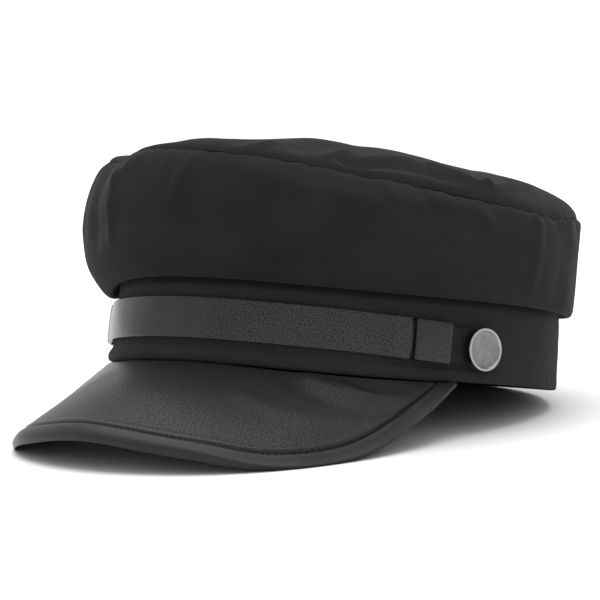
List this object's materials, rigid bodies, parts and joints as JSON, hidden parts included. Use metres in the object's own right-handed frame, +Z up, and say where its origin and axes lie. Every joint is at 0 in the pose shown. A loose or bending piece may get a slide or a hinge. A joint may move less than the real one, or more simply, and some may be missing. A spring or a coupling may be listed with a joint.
{
  "type": "cadet cap",
  "caption": "Soft cloth cap with a full crown over an upright band, a stitched leather peak, and a leather strap across the front held by keeper loops and metal side buttons.",
  "frame": {"origin": "middle of the cap's outer box, on the surface that it rests on", "axes": "-Y is where the peak points, +X is the wearer's left, +Z is up"},
  "size_m": [0.196, 0.2696, 0.1138],
  "materials": {
    "crown_cloth": "matt black twill cloth, slightly dusty on its edges",
    "band_cloth": "matt black cloth with a rolled hem",
    "peak_leather": "satin black leather with a fine grain, stitched along its rim",
    "strap_leather": "satin black leather with a pebble grain",
    "tab_leather": "smooth dark leather",
    "button_metal": "matt brushed metal with a bright rim"
  },
  "bodies": {
    "root": {"crown_side": "crown_cloth", "crown_top": "crown_cloth", "band": "band_cloth", "peak": "peak_leather", "strap": "strap_leather", "keeper_left": "strap_leather", "keeper_right": "strap_leather", "tab_left": "tab_leather", "tab_right": "tab_leather", "button_left": "button_metal", "button_right": "button_metal"}
  },
  "joints": []
}
